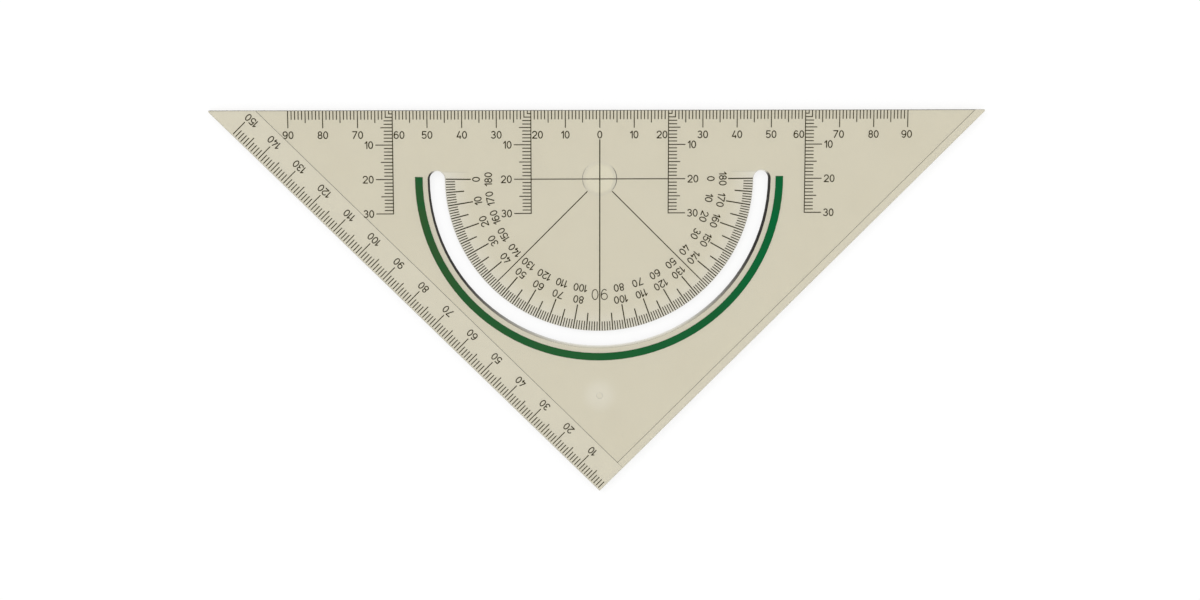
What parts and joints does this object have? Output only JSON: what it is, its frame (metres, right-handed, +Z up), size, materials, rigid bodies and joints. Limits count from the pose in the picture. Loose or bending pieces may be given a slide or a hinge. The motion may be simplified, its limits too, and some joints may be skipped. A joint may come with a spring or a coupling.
{
  "type": "geometry triangle",
  "caption": "Flat smoke-tinted right-angled set square with a half-round protractor window, a green inlaid arc, a graduated leg, and printed millimetre and degree scales for measuring.",
  "frame": {"origin": "on the underside, at the middle of the box round the triangle's outline: midway between the hypotenuse and the right-angled corner", "axes": "+X along the hypotenuse to the right as the scales are read, +Y from the right-angled corner to the hypotenuse, +Z up out of the printed face"},
  "size_m": [0.2262, 0.1132, 0.0022],
  "materials": {
    "smoke_plastic": "clear smoke-tinted moulded plastic, polished faces",
    "green_inlay": "opaque green inlay, satin",
    "dark_ink": "opaque brown-black printed film"
  },
  "bodies": {
    "root": {"plate": "smoke_plastic", "green_arc": "green_inlay", "hypotenuse_scale": "dark_ink", "leg_scale": "dark_ink", "protractor_scale": "dark_ink", "left_outer_depth_scale": "dark_ink", "left_inner_depth_scale": "dark_ink", "right_inner_depth_scale": "dark_ink", "right_outer_depth_scale": "dark_ink", "datum_cross": "dark_ink", "left_diagonal": "dark_ink", "right_diagonal": "dark_ink"}
  },
  "joints": []
}
